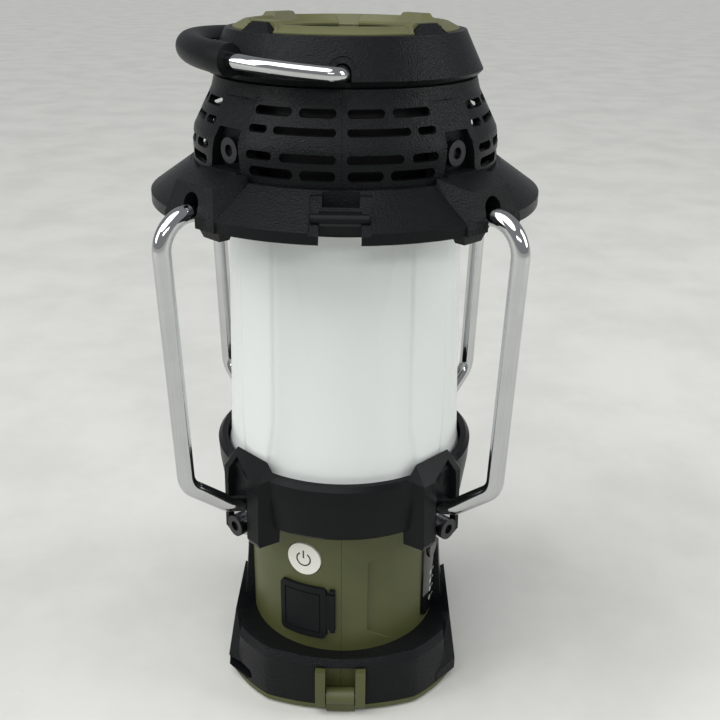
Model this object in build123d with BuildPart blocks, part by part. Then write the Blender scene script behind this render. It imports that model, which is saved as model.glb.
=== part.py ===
from build123d import *
from math import atan2, cos, degrees, radians, sin
import os

os.makedirs("parts", exist_ok=True)

# Rechargeable camping lantern. Millimetres, +Z up, origin at the centre of the base,
# front (seam, USB cover, door hinge) towards -Y, control panel towards +X.

# ---- driving dimensions ------------------------------------------------------------
FOOT_Z = 0.5            # the door plate stands this far above the ground on its pads
DOOR_TOP = 3.2          # top face of the door plate
SKIRT_BOTTOM = 3.6
SKIRT_EDGE = 22.6       # where the skirt's wall turns in
SKIRT_TOP = 25.4
BASE_R = 51.0           # round part of the base outline
BASE_FLAT_R = 84.0      # the flatter arcs at its front and back
BASE_FLAT_Y = 47.0      # how far those arcs stand from the centre
BASE_SIDE_X = 46.6      # flat sides of the base
BODY_R = 38.0
BODY_WALL = 2.2
BODY_TOP = 91.0
RING_BOTTOM = 80.4
RING_TOP = 103.6
RING_R = 49.8
GLOBE_R_LOW = 45.6      # outside radius of the globe at its foot
GLOBE_R_TOP = 42.9
GLOBE_LOW = 98.0
GLOBE_TOP = 203.0
GLOBE_WALL = 2.0
BRIM_R = 68.3
BRIM_Z = 201.2          # top edge of the brim's rim
BRIM_BOTTOM = 197.6
BRIM_ROOT_R = 54.5
BRIM_ROOT_Z = 210.8
CAGE_BOTTOM = 208.4
CAP_BOTTOM = 240.4
CAP_TOP = 254.0
CAP_R_TOP = 40.5
CAP_R_LOW = 46.7
CROWN_TOP = 257.4
BAR_R = 3.03            # radius of the chromed guard bars
BAR_TOP_Z = 201.6
BAIL_AXIS_Z = 244.0
BAIL_REACH = 52.3       # radius of the bail's half circle
BAIL_TILT = 4.5         # degrees above level when folded
WIRE_R = 2.4
GRIP_R = 4.8
RUN = 0.05              # radial running clearance of pins and hooks
SEAM = 0.05             # half the gap between moulded halves

CORNERS = {"front_right": -45, "back_right": 45, "back_left": 135, "front_left": -135}


def radial_plane(angle):
    """The upright plane through the axis: local x is outwards, local y is up."""
    a = radians(angle)
    return Plane(origin=(0, 0, 0), x_dir=(cos(a), sin(a), 0), z_dir=(sin(a), -cos(a), 0))


def face_plane(angle, radius, height):
    """A plane facing outwards at that angle: local x runs sideways, local y is up."""
    a = radians(angle)
    return Plane(
        origin=(radius * cos(a), radius * sin(a), height),
        x_dir=(-sin(a), cos(a), 0),
        z_dir=(cos(a), sin(a), 0),
    )


def both(r, s, z):
    """A point and its mirror image across the local radial plane."""
    return [(r, s, z), (r, -s, z)]


# ==== base ===========================================================================
with BuildSketch() as base_outline:
    Circle(BASE_R)
    for side in (-1, 1):
        with Locations((0, side * (BASE_FLAT_R - BASE_FLAT_Y))):
            Circle(BASE_FLAT_R, mode=Mode.INTERSECT)
    Rectangle(2 * BASE_SIDE_X, 2 * BASE_R, mode=Mode.INTERSECT)

HINGE_Y = -47.4         # door hinge axis
HINGE_Z = 8.6
HINGE_PIN_R = 1.2
BARREL_R = 3.2
EAR_IN = 5.9            # ears span EAR_IN..EAR_OUT each side of the seam
EAR_OUT = 9.8
BAY_R = 34.2            # battery bay opening
ARMOUR_HALF = 8.4
DISH_R = 47.4           # outer edge of the skirt's sloping top face
DISH_DEPTH = 2.7
LATCH_Y = 45.6          # latch tongue at the back of the door
LATCH_W = 12.4
LATCH_TOP = 15.0

# The two halves of the skirt share one whole blank that is split at the seam.
with BuildPart() as skirt_blank:
    with BuildSketch(Plane.XY.offset(SKIRT_BOTTOM)):
        add(base_outline.sketch)
    extrude(amount=SKIRT_EDGE - SKIRT_BOTTOM)
    with BuildSketch(Plane.XY.offset(SKIRT_EDGE)):
        add(base_outline.sketch)
    extrude(amount=SKIRT_TOP - SKIRT_EDGE, taper=34)
    # the top face falls towards the body, and the flanks lean in
    with Locations((0, 0, SKIRT_TOP - DISH_DEPTH)):
        Cone(
            BODY_R, DISH_R, DISH_DEPTH, align=(Align.CENTER, Align.CENTER, Align.MIN),
            mode=Mode.SUBTRACT,
        )
    for turn in (0, 180):
        with Locations(Rotation(0, 0, turn)):
            ConvexPolyhedron(
                both(42.9, 60, SKIRT_BOTTOM - 1) + both(60, 60, SKIRT_BOTTOM - 1)
                + both(40.9, 60, SKIRT_TOP + 1) + both(60, 60, SKIRT_TOP + 1),
                mode=Mode.SUBTRACT,
            )
    # side armour: a block on each flank, and a stepped shield that climbs the body from it
    for turn in (0, 180):
        with Locations(Rotation(0, 0, turn)):
            ConvexPolyhedron(
                both(36.0, 7.8, 66.0) + both(37.9, 7.8, 66.0) + both(38.7, 2.0, 66.0)
                + both(41.0, ARMOUR_HALF, 27.0) + both(41.6, 3.0, 27.0)
                + both(36.0, ARMOUR_HALF, 20.0) + both(41.6, ARMOUR_HALF, 20.0)
            )
            ConvexPolyhedron(
                both(38.0, 5.4, 43.0) + both(40.1, 5.4, 41.5) + both(41.1, 6.2, 36.5)
                + both(42.3, 7.0, 26.0) + both(38.0, 7.0, 24.0)
            )
            ConvexPolyhedron(
                both(44.3, 16.5, 26.2) + both(37.0, 14.5, 22.8)
                + both(BASE_SIDE_X, 26.2, 10.0) + both(BASE_SIDE_X, 26.2, 5.0)
                + both(46.0, 25.6, SKIRT_BOTTOM) + both(34.0, 28.0, SKIRT_BOTTOM)
                + both(38.8, 33.4, 7.6) + both(38.8, 33.4, SKIRT_BOTTOM) + both(34.0, 28.0, 10.0)
            )
    Cylinder(BODY_R + 0.1, 200, mode=Mode.SUBTRACT)
    # window in front for the hinge ears and barrel
    with Locations((0, HINGE_Y + 3.4, SKIRT_BOTTOM + 8.4)):
        Box(2 * EAR_OUT + 0.6, 18.0, 19.0, mode=Mode.SUBTRACT)
    # notch at the back for the door's latch tongue
    with Locations((0, LATCH_Y, (SKIRT_BOTTOM + LATCH_TOP) / 2)):
        Box(LATCH_W + 0.8, 3.4, LATCH_TOP + 0.6 - SKIRT_BOTTOM, mode=Mode.SUBTRACT)
    # moulded finger recess at the lower left corner
    with BuildSketch(face_plane(-144, 60, 7.3)):
        SlotOverall(15.5, 4.6)
    extrude(amount=-15.5, mode=Mode.SUBTRACT)

with BuildPart() as skirt_left:
    add(skirt_blank.part)
    split(bisect_by=Plane.YZ.offset(-SEAM), keep=Keep.BOTTOM)
skirt_left.part.label = "skirt_left"
export_step(skirt_left.part, "parts/skirt_left.step")

with BuildPart() as skirt_right:
    add(skirt_blank.part)
    split(bisect_by=Plane.YZ.offset(SEAM), keep=Keep.TOP)
skirt_right.part.label = "skirt_right"
export_step(skirt_right.part, "parts/skirt_right.step")

# Door: the olive plate that closes the battery bay and carries the lantern.
with BuildPart() as base_door:
    with BuildSketch(Plane.XY.offset(FOOT_Z)):
        add(base_outline.sketch)
    extrude(amount=DOOR_TOP - FOOT_Z)
    chamfer(base_door.edges().group_by(Axis.Z)[0], length=0.8)
    with BuildSketch(Plane.XY.offset(DOOR_TOP)):
        Circle(31.0)
        Circle(29.4, mode=Mode.SUBTRACT)
    extrude(amount=2.6)
    # web and barrel of the hinge
    with BuildSketch(Plane.YZ.offset(-EAR_IN + 0.4)):
        with BuildLine():
            Polyline(
                (HINGE_Y - BARREL_R, HINGE_Z), (HINGE_Y - 0.8, DOOR_TOP + 1.4),
                (HINGE_Y - 0.6, FOOT_Z + 0.6), (HINGE_Y + 6.0, FOOT_Z + 0.6),
                (HINGE_Y + 6.0, DOOR_TOP), (HINGE_Y + 2.0, DOOR_TOP + 0.4), (HINGE_Y + 2.0, HINGE_Z),
                close=True,
            )
        make_face()
        with Locations((HINGE_Y, HINGE_Z)):
            Circle(BARREL_R)
            Circle(HINGE_PIN_R + RUN, mode=Mode.SUBTRACT)
    extrude(amount=2 * (EAR_IN - 0.4))
    with Locations(Location((0, HINGE_Y, HINGE_Z), (0, 90, 0))):
        Cylinder(HINGE_PIN_R + RUN, 30, mode=Mode.SUBTRACT)
    # latch tongue with its finger nib at the back
    with Locations((0, LATCH_Y - 0.2, (DOOR_TOP + LATCH_TOP) / 2)):
        Box(LATCH_W, 1.6, LATCH_TOP - DOOR_TOP)
    with Locations((0, LATCH_Y + 0.8, LATCH_TOP - 1.6)):
        Box(LATCH_W - 2.0, 1.0, 1.6)
    with PolarLocations(41.0, 4, start_angle=45):
        with Locations((0, 0, FOOT_Z)):
            Cylinder(4.1, 2.4, mode=Mode.SUBTRACT)
base_door.part.label = "base_door"
export_step(base_door.part, "parts/base_door.step")

with BuildPart() as foot_pads:
    with PolarLocations(41.0, 4, start_angle=45):
        Cylinder(4.0, FOOT_Z + 1.2, align=(Align.CENTER, Align.CENTER, Align.MIN))
foot_pads.part.label = "foot_pads"
export_step(foot_pads.part, "parts/foot_pads.step")

with BuildPart() as door_seal:
    with BuildSketch(Plane.XY.offset(DOOR_TOP)):
        Circle(33.2)
        Circle(31.1, mode=Mode.SUBTRACT)
    extrude(amount=1.4)
door_seal.part.label = "door_seal"
export_step(door_seal.part, "parts/door_seal.step")

with BuildPart() as door_contact:
    with BuildSketch(Plane.XY.offset(DOOR_TOP)):
        RectangleRounded(40, 9, 2)
        RectangleRounded(9, 40, 2)
    extrude(amount=0.6)
door_contact.part.label = "door_contact"
export_step(door_contact.part, "parts/door_contact.step")

# ==== body ===========================================================================
FLAP_ANGLE = -113.0     # middle of the USB cover
FLAP_W = 19.6
FLAP_H = 23.6
FLAP_Z = 40.8
PORT_A_Z = FLAP_Z + 4.2
CHARGE_PORT_Z = FLAP_Z - 5.6
LABEL_ANGLE = -112.2    # USB switch button above it
LABEL_Z = 64.2
LABEL_R = 6.9
PANEL_ANGLE = -23.1     # control panel on the right
PANEL_Z = 46.4
PANEL_HALF = 9.9        # half of its width along the wall, degrees of arc
PANEL_H = 41.0
MODE_Z = 57.0
MODE_R = 4.2
BAY_FLOOR = BODY_R - 9.0

with BuildPart() as body_blank:
    with BuildSketch(Plane.XY.offset(SKIRT_BOTTOM)):
        Circle(BODY_R)
        Circle(BODY_R - BODY_WALL, mode=Mode.SUBTRACT)
    extrude(amount=BODY_TOP - SKIRT_BOTTOM)
    # floor flange round the battery bay
    with BuildSketch(Plane.XY.offset(SKIRT_BOTTOM)):
        Circle(BODY_R - BODY_WALL)
        Circle(BAY_R, mode=Mode.SUBTRACT)
    extrude(amount=3.0)
    # hinge ears with the panel behind them
    for side in (-1, 1):
        with BuildSketch(Plane.YZ.offset(side * (EAR_IN + EAR_OUT) / 2)):
            with BuildLine():
                Polyline(
                    (-36.6, SKIRT_BOTTOM + 0.4), (HINGE_Y, SKIRT_BOTTOM + 0.1),
                    (HINGE_Y - 2.6, SKIRT_BOTTOM + 1.0), (HINGE_Y - 3.0, 12.0),
                    (HINGE_Y - 1.6, 21.0), (-36.6, 20.8), close=True,
                )
            make_face()
        extrude(amount=(EAR_OUT - EAR_IN) / 2, both=True)
    with Locations((0, -40.0, 12.4)):
        Box(2 * EAR_IN + 2, 5.6, 17.4)
    with Locations(Location((0, HINGE_Y, HINGE_Z), (0, 90, 0))):
        Cylinder(HINGE_PIN_R, 2 * EAR_OUT + 4, mode=Mode.SUBTRACT)
    with Locations(Location((0, HINGE_Y, HINGE_Z), (0, 90, 0))):
        Cylinder(BARREL_R + 0.5, 2 * EAR_IN, mode=Mode.SUBTRACT)
    # window of the USB bay, which is a tray of its own
    with BuildSketch(face_plane(FLAP_ANGLE, BAY_FLOOR, FLAP_Z)):
        RectangleRounded(FLAP_W - 1.6, FLAP_H - 1.6, 2.0)
    extrude(amount=12, mode=Mode.SUBTRACT)
    # hole of the USB switch
    with BuildSketch(face_plane(LABEL_ANGLE, BODY_R - 8.0, LABEL_Z)):
        Circle(LABEL_R + 0.25)
    extrude(amount=14, mode=Mode.SUBTRACT)
    # hole of the mode button under the control panel
    with BuildSketch(face_plane(PANEL_ANGLE, BODY_R - 8.0, MODE_Z)):
        Circle(MODE_R + 0.3)
    extrude(amount=14, mode=Mode.SUBTRACT)

# A tapering recess beside the control panel: its floor is a cylinder set off sideways.
RECESS_SHIFT = 5.0
with BuildPart() as side_recess:
    with BuildSketch(Plane.XZ.offset(20)):
        with BuildLine():
            Polyline((10.1, 31.5), (21.0, 24.2), (21.0, 68.2), (10.1, 63.6), close=True)
        make_face()
    extrude(amount=30)
    with Locations((RECESS_SHIFT * cos(radians(29)), RECESS_SHIFT * sin(radians(29)), 45)):
        Cylinder(BODY_R, 100, mode=Mode.SUBTRACT)

with BuildPart() as body_left:
    add(body_blank.part)
    split(bisect_by=Plane.YZ.offset(-SEAM), keep=Keep.BOTTOM)
body_left.part.label = "body_left"
export_step(body_left.part, "parts/body_left.step")

with BuildPart() as body_right:
    add(body_blank.part)
    split(bisect_by=Plane.YZ.offset(SEAM), keep=Keep.TOP)
    add(side_recess.part, mode=Mode.SUBTRACT)
body_right.part.label = "body_right"
export_step(body_right.part, "parts/body_right.step")

with BuildPart() as hinge_pin:
    with Locations(Location((0, HINGE_Y, HINGE_Z), (0, 90, 0))):
        Cylinder(HINGE_PIN_R, 2 * EAR_OUT - 0.6)
hinge_pin.part.label = "hinge_pin"
export_step(hinge_pin.part, "parts/hinge_pin.step")

# Tray behind the USB cover, with the two ports in its floor.
with BuildPart() as usb_bay:
    with BuildSketch(face_plane(FLAP_ANGLE, BAY_FLOOR, FLAP_Z)):
        RectangleRounded(FLAP_W - 1.8, FLAP_H - 1.8, 1.9)
    extrude(amount=12)
    with BuildSketch(face_plane(FLAP_ANGLE, BAY_FLOOR + 1.2, FLAP_Z)):
        RectangleRounded(FLAP_W - 4.0, FLAP_H - 4.0, 1.6)
    extrude(amount=12, mode=Mode.SUBTRACT)
    with BuildSketch(face_plane(FLAP_ANGLE, BAY_FLOOR - 1, PORT_A_Z)):
        RectangleRounded(14.5, 6.9, 0.8)
    extrude(amount=4, mode=Mode.SUBTRACT)
    with BuildSketch(face_plane(FLAP_ANGLE, BAY_FLOOR - 1, CHARGE_PORT_Z)):
        RectangleRounded(8.5, 3.7, 1.0)
    extrude(amount=4, mode=Mode.SUBTRACT)
    with BuildSketch(Plane.XY.offset(FLAP_Z - FLAP_H)):
        Circle(BODY_R)
    extrude(amount=2 * FLAP_H, mode=Mode.INTERSECT)
usb_bay.part.label = "usb_bay"
export_step(usb_bay.part, "parts/usb_bay.step")

# USB cover: a curved flap with a raised border, hinged on its right-hand edge.
FLAP_OUT = 1.5          # how far it stands proud of the body
FLAP_HINGE_X = -3.4
FLAP_HINGE_Y = -39.2
FLAP_KNUCKLE_R = 1.2
with BuildPart() as flap_shell:
    with BuildSketch(Plane.XY.offset(FLAP_Z - FLAP_H / 2)):
        Circle(BODY_R + FLAP_OUT)
        Circle(BODY_R + 0.1, mode=Mode.SUBTRACT)
    extrude(amount=FLAP_H)
with BuildPart() as flap_groove:
    with BuildSketch(face_plane(FLAP_ANGLE, BODY_R - 8, FLAP_Z)):
        RectangleRounded(FLAP_W - 4.2, FLAP_H - 5.0, 0.8)
        RectangleRounded(FLAP_W - 5.2, FLAP_H - 6.0, 0.6, mode=Mode.SUBTRACT)
    extrude(amount=14)
    Cylinder(BODY_R + FLAP_OUT - 0.4, 200, mode=Mode.SUBTRACT)
with BuildPart() as usb_cover:
    with BuildSketch(face_plane(FLAP_ANGLE, BODY_R - 8, FLAP_Z)):
        RectangleRounded(FLAP_W, FLAP_H, 2.2)
    extrude(amount=14)
    add(flap_shell.part, mode=Mode.INTERSECT)
    add(flap_groove.part, mode=Mode.SUBTRACT)
    # hinge knuckle with the strap that joins it to the flap
    with Locations((FLAP_HINGE_X, FLAP_HINGE_Y, FLAP_Z + 1.4)):
        Cylinder(FLAP_KNUCKLE_R, 16.4)
    with Locations((FLAP_HINGE_X - 1.1, FLAP_HINGE_Y + 0.2, FLAP_Z + 1.4)):
        Box(2.6, 1.4, 16.4)
    # plug on the inside that fills the bay's mouth
    with BuildSketch(face_plane(FLAP_ANGLE, BODY_R - 1.8, FLAP_Z)):
        RectangleRounded(FLAP_W - 6.6, FLAP_H - 5.0, 1.4)
        RectangleRounded(FLAP_W - 9.0, FLAP_H - 7.4, 0.8, mode=Mode.SUBTRACT)
    extrude(amount=2.2)
    with Locations((FLAP_HINGE_X, FLAP_HINGE_Y, FLAP_Z + 1.4)):
        Cylinder(0.5 + RUN, 30, mode=Mode.SUBTRACT)
usb_cover.part.label = "usb_cover"
export_step(usb_cover.part, "parts/usb_cover.step")

with BuildPart() as usb_cover_pin:
    with Locations((FLAP_HINGE_X, FLAP_HINGE_Y, FLAP_Z + 1.4)):
        Cylinder(0.5, 19.6)
    # end lugs that tie the pin to the body
    for end in (-1, 1):
        with Locations((FLAP_HINGE_X, FLAP_HINGE_Y + 0.6, FLAP_Z + 1.4 + end * 9.2)):
            Box(2.2, 1.8, 1.2)
    Cylinder(BODY_R + 0.01, 200, mode=Mode.SUBTRACT)
usb_cover_pin.part.label = "usb_cover_pin"
export_step(usb_cover_pin.part, "parts/usb_cover_pin.step")

USB_BOARD_R = BODY_R - 13.8
with BuildPart() as usb_port_a:
    with BuildSketch(face_plane(FLAP_ANGLE, USB_BOARD_R + 1.3, PORT_A_Z)):
        RectangleRounded(14.4, 6.8, 0.8)
    extrude(amount=6.0)
    with BuildSketch(face_plane(FLAP_ANGLE, USB_BOARD_R + 2.3, PORT_A_Z)):
        RectangleRounded(13.0, 5.4, 0.5)
    extrude(amount=6.0, mode=Mode.SUBTRACT)
    with BuildSketch(face_plane(FLAP_ANGLE, USB_BOARD_R + 2.0, PORT_A_Z + 1.2)):
        Rectangle(11.4, 1.6)
    extrude(amount=4.6)
usb_port_a.part.label = "usb_port_a"
export_step(usb_port_a.part, "parts/usb_port_a.step")

with BuildPart() as charge_port:
    with BuildSketch(face_plane(FLAP_ANGLE, USB_BOARD_R + 1.3, CHARGE_PORT_Z)):
        RectangleRounded(8.4, 3.6, 1.0)
    extrude(amount=5.4)
    with BuildSketch(face_plane(FLAP_ANGLE, USB_BOARD_R + 2.3, CHARGE_PORT_Z)):
        RectangleRounded(7.2, 2.4, 0.7)
    extrude(amount=6.0, mode=Mode.SUBTRACT)
    with BuildSketch(face_plane(FLAP_ANGLE, USB_BOARD_R + 2.0, CHARGE_PORT_Z + 0.3)):
        Rectangle(5.0, 0.8)
    extrude(amount=4.0)
charge_port.part.label = "charge_port"
export_step(charge_port.part, "parts/charge_port.step")

with BuildPart() as usb_board:
    with BuildSketch(face_plane(FLAP_ANGLE, USB_BOARD_R, FLAP_Z + 4.0)):
        Rectangle(20, 36)
    extrude(amount=1.2)
usb_board.part.label = "usb_board"
export_step(usb_board.part, "parts/usb_board.step")

# Round white push button of the USB output, slightly domed.
BUTTON_OUT = 0.5
with BuildPart() as usb_button:
    with BuildSketch(face_plane(LABEL_ANGLE, BODY_R - 3.0, LABEL_Z)):
        Circle(LABEL_R)
    extrude(amount=3.0 + BUTTON_OUT)
    Cylinder(BODY_R + BUTTON_OUT, 200, mode=Mode.INTERSECT)
usb_button.part.label = "usb_button"
export_step(usb_button.part, "parts/usb_button.step")

# Glossy control panel: a curved plate with a mode button and a row of lights.
LIGHT_R = 1.1
LIGHT_Z = [32.0, 36.2, 40.4, 44.6]
with BuildPart() as panel_shell:
    with BuildSketch(Plane.XY.offset(PANEL_Z - PANEL_H / 2)):
        Circle(BODY_R + 0.9)
        Circle(BODY_R, mode=Mode.SUBTRACT)
    extrude(amount=PANEL_H)
with BuildPart() as control_panel:
    with BuildSketch(face_plane(PANEL_ANGLE, BODY_R - 8, PANEL_Z)):
        RectangleRounded(2 * BODY_R * sin(radians(PANEL_HALF)), PANEL_H, 3.0)
    extrude(amount=14)
    add(panel_shell.part, mode=Mode.INTERSECT)
    with BuildSketch(face_plane(PANEL_ANGLE, BODY_R - 8, MODE_Z)):
        Circle(MODE_R + 0.3)
    extrude(amount=14, mode=Mode.SUBTRACT)
    for height in LIGHT_Z:
        with BuildSketch(face_plane(PANEL_ANGLE, BODY_R - 8, height)):
            Circle(LIGHT_R)
        extrude(amount=14, mode=Mode.SUBTRACT)
control_panel.part.label = "control_panel"
export_step(control_panel.part, "parts/control_panel.step")

with BuildPart() as mode_button:
    with BuildSketch(face_plane(PANEL_ANGLE, BODY_R - 2.6, MODE_Z)):
        Circle(MODE_R)
    extrude(amount=2.6 + 1.7)
    fillet(mode_button.edges().filter_by(GeomType.CIRCLE), radius=0.4)
mode_button.part.label = "mode_button"
export_step(mode_button.part, "parts/mode_button.step")

with BuildPart() as indicator_lights:
    for height in LIGHT_Z:
        with BuildSketch(face_plane(PANEL_ANGLE, BODY_R + 0.02, height)):
            Circle(LIGHT_R)
        extrude(amount=1.0)
indicator_lights.part.label = "indicator_lights"
export_step(indicator_lights.part, "parts/indicator_lights.step")

with BuildPart() as button_board:
    with BuildSketch(face_plane(PANEL_ANGLE, BODY_R - 7.6, 48.0)):
        Rectangle(12, 44)
    extrude(amount=1.4)
    with BuildSketch(face_plane(PANEL_ANGLE, BODY_R - 6.2, MODE_Z)):
        Rectangle(6, 6)
    extrude(amount=2.0)
button_board.part.label = "button_board"
export_step(button_board.part, "parts/button_board.step")

# Batteries: four cylindrical cells round a spine, under a contact plate.
CELL_R = 9.15
CELL_H = 65.0
CELL_LOW = 6.4
CELL_AT = 10.0          # centre of each cell from the axis, along x and y
CELL_TOP = CELL_LOW + CELL_H
with BuildPart() as battery_cells:
    with Locations((0, 0, CELL_LOW)):
        with GridLocations(2 * CELL_AT, 2 * CELL_AT, 2, 2):
            Cylinder(CELL_R, CELL_H - 1, align=(Align.CENTER, Align.CENTER, Align.MIN))
            Cylinder(3.4, CELL_H, align=(Align.CENTER, Align.CENTER, Align.MIN))
battery_cells.part.label = "battery_cells"
export_step(battery_cells.part, "parts/battery_cells.step")

with BuildPart() as battery_holder:
    with BuildSketch(Plane.XY.offset(CELL_TOP + 0.4)):
        Circle(BODY_R - BODY_WALL - 0.1)
    extrude(amount=2.0)
    with BuildSketch(Plane.XY.offset(CELL_LOW)):
        RectangleRounded(4.6, 4.6, 0.6)
        with PolarLocations(21.6, 4):
            Rectangle(2.4, 9)
    extrude(amount=CELL_H + 1)
battery_holder.part.label = "battery_holder"
export_step(battery_holder.part, "parts/battery_holder.step")

with BuildPart() as contact_springs:
    with Locations((0, 0, DOOR_TOP + 0.6)):
        with GridLocations(2 * CELL_AT, 2 * CELL_AT, 2, 2):
            Cylinder(3.6, 2.2, align=(Align.CENTER, Align.CENTER, Align.MIN))
            Cylinder(2.8, 2.2, align=(Align.CENTER, Align.CENTER, Align.MIN), mode=Mode.SUBTRACT)
contact_springs.part.label = "contact_springs"
export_step(contact_springs.part, "parts/contact_springs.step")

with BuildPart() as main_board:
    with BuildSketch(Plane.XY.offset(78.0)):
        Circle(33.0)
    extrude(amount=1.6)
    # inductor, capacitors and driver chips
    with BuildSketch(Plane.XY.offset(79.6)):
        with Locations((0, 12)):
            Circle(6.0)
        with Locations((-14, -4), (-14, -14)):
            Circle(4.0)
        with Locations((10, -8)):
            Rectangle(8, 6)
        with Locations((14, 6)):
            Rectangle(5, 9)
    extrude(amount=5.0)
main_board.part.label = "main_board"
export_step(main_board.part, "parts/main_board.step")

# ==== lamp ===========================================================================
# Collar ring with four bar brackets. Each bracket is a wedge with a slot for the bar's
# flattened end: its cheek towards the front (or back) is thick, the other one thin.
SCREW_Z = 79.6
SCREW_SIDE = -2.0
TAB_IN = 49.6
TAB_OUT = 51.8
SEAT_Z = GLOBE_LOW - 1.0        # step of the ring that carries the globe
RING_IN = GLOBE_R_LOW + 0.5
with BuildPart() as bracket:
    ConvexPolyhedron(
        both(46.4, 8.5, 107.8) + both(52.1, 9.9, 101.3) + both(52.8, 9.6, 76.0)
        + both(51.6, 8.8, 73.6) + both(43.5, 10.6, 73.6) + both(43.5, 12.4, 95.0)
        + both(46.4, 12.9, 103.2)
    )
    # slot for the bar end, with its mouth opening on the sloping face
    with Locations((TAB_IN - 0.2 + 10, (3.2 - 7.8) / 2, 83.5)):
        Box(20.0, 11.0, 23.0, mode=Mode.SUBTRACT)
    ConvexPolyhedron(
        [(TAB_IN - 0.2, -7.8, 94.8), (TAB_IN - 0.2, 3.2, 94.8), (60, -8.6, 94.8), (60, 3.4, 94.8),
         (47.9, -6.6, 105.0), (60, -6.6, 108.0), (51.6, 3.6, 101.6), (60, 3.6, 104.0)],
        mode=Mode.SUBTRACT,
    )
    with Locations(Location((TAB_IN, SCREW_SIDE, SCREW_Z), (0, 90, 0))):
        Cylinder(1.7, 20, mode=Mode.SUBTRACT)
with BuildPart() as ring_collar:
    # one quarter of the ring, from the left round to the front, with its bracket
    with BuildSketch(radial_plane(180)):
        with BuildLine():
            Polyline(
                (BODY_R + 0.1, RING_BOTTOM), (46.6, RING_BOTTOM), (47.6, RING_BOTTOM + 1.2),
                (49.4, 95.0), (RING_R, RING_TOP - 1.6), (RING_R - 1.5, RING_TOP),
                (RING_IN, RING_TOP), (RING_IN, SEAT_Z), (40.8, SEAT_Z), (40.8, 94.4), (34.0, 94.4),
                (34.0, BODY_TOP + 0.2), (BODY_R + 0.1, BODY_TOP + 0.2), close=True,
            )
        make_face()
    revolve(axis=Axis.Z, revolution_arc=90)
    with Locations(Rotation(0, 0, CORNERS["front_left"])):
        add(bracket.part)
    # the globe's seat stays clear of the brackets' wedges
    with BuildSketch(Plane.XY.offset(SEAT_Z)):
        Circle(RING_IN)
    extrude(amount=20, mode=Mode.SUBTRACT)
    with Locations(Rotation(0, 0, CORNERS["front_left"])):
        with Locations(Location((42, SCREW_SIDE, SCREW_Z), (0, 90, 0))):
            Cylinder(1.7, 20, mode=Mode.SUBTRACT)
    mirror(about=Plane.YZ)
    mirror(about=Plane.XZ)
ring_collar.part.label = "ring_collar"
export_step(ring_collar.part, "parts/ring_collar.step")

with BuildPart() as ring_screws:
    with Locations(Rotation(0, 0, CORNERS["front_left"])):
        with Locations(Location((TAB_OUT + 0.05, SCREW_SIDE, SCREW_Z), (0, 90, 0))):
            Cylinder(4.1, 2.6, align=(Align.CENTER, Align.CENTER, Align.MIN))
        with Locations(Location((TAB_OUT + 0.05, SCREW_SIDE, SCREW_Z), (0, -90, 0))):
            Cylinder(1.6, 11, align=(Align.CENTER, Align.CENTER, Align.MIN))
        with Locations(Location((TAB_OUT + 2.8, SCREW_SIDE, SCREW_Z), (0, -90, 0))):
            Cylinder(1.9, 1.6, align=(Align.CENTER, Align.CENTER, Align.MIN), mode=Mode.SUBTRACT)
    mirror(about=Plane.YZ)
    mirror(about=Plane.XZ)
ring_screws.part.label = "ring_screws"
export_step(ring_screws.part, "parts/ring_screws.step")

with BuildPart() as globe:
    with BuildSketch(Plane.XZ):
        with BuildLine():
            outside = Spline(
                (GLOBE_R_LOW, GLOBE_LOW), (44.3, 130), (43.2, 180), (GLOBE_R_TOP, GLOBE_TOP - 9)
            )
            Polyline(
                outside @ 1, (GLOBE_R_TOP, GLOBE_TOP), (GLOBE_R_TOP - GLOBE_WALL, GLOBE_TOP),
                (GLOBE_R_TOP - GLOBE_WALL, GLOBE_TOP - 9),
            )
            inside = Spline(
                (GLOBE_R_TOP - GLOBE_WALL, GLOBE_TOP - 9), (43.2 - GLOBE_WALL, 180),
                (44.3 - GLOBE_WALL, 130), (GLOBE_R_LOW - GLOBE_WALL, GLOBE_LOW),
            )
            Line(inside @ 1, outside @ 0)
        make_face()
    revolve(axis=Axis.Z)
globe.part.label = "globe"
export_step(globe.part, "parts/globe.step")

with BuildPart() as globe_seals:
    with BuildSketch(Plane.XY.offset(SEAT_Z)):
        Circle(GLOBE_R_LOW)
        Circle(GLOBE_R_LOW - GLOBE_WALL, mode=Mode.SUBTRACT)
    extrude(amount=GLOBE_LOW - SEAT_Z)
    with BuildSketch(Plane.XY.offset(GLOBE_TOP)):
        Circle(GLOBE_R_TOP)
        Circle(GLOBE_R_TOP - GLOBE_WALL, mode=Mode.SUBTRACT)
    extrude(amount=1.0)
globe_seals.part.label = "globe_seals"
export_step(globe_seals.part, "parts/globe_seals.step")

# LED column: a board at its foot, a hexagonal post, six strips of chips.
POST_R = 8.0
POST_LOW = 96.0
POST_TOP = 193.0
LEAD_R = 1.0
STRIP_R = POST_R * cos(radians(30))
with BuildPart() as lamp_board:
    with BuildSketch(Plane.XY.offset(94.4)):
        Circle(40.4)
        Circle(LEAD_R + 0.5, mode=Mode.SUBTRACT)
    extrude(amount=POST_LOW - 94.4)
lamp_board.part.label = "lamp_board"
export_step(lamp_board.part, "parts/lamp_board.step")

with BuildPart() as lamp_reflector:
    with BuildSketch(Plane.XY.offset(SEAT_Z)):
        Circle(43.2)
        Circle(POST_R + 1.6, mode=Mode.SUBTRACT)
    extrude(amount=2.0)
    fillet(lamp_reflector.edges().filter_by(GeomType.CIRCLE).group_by(Axis.Z)[-1], radius=0.8)
lamp_reflector.part.label = "lamp_reflector"
export_step(lamp_reflector.part, "parts/lamp_reflector.step")

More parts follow.
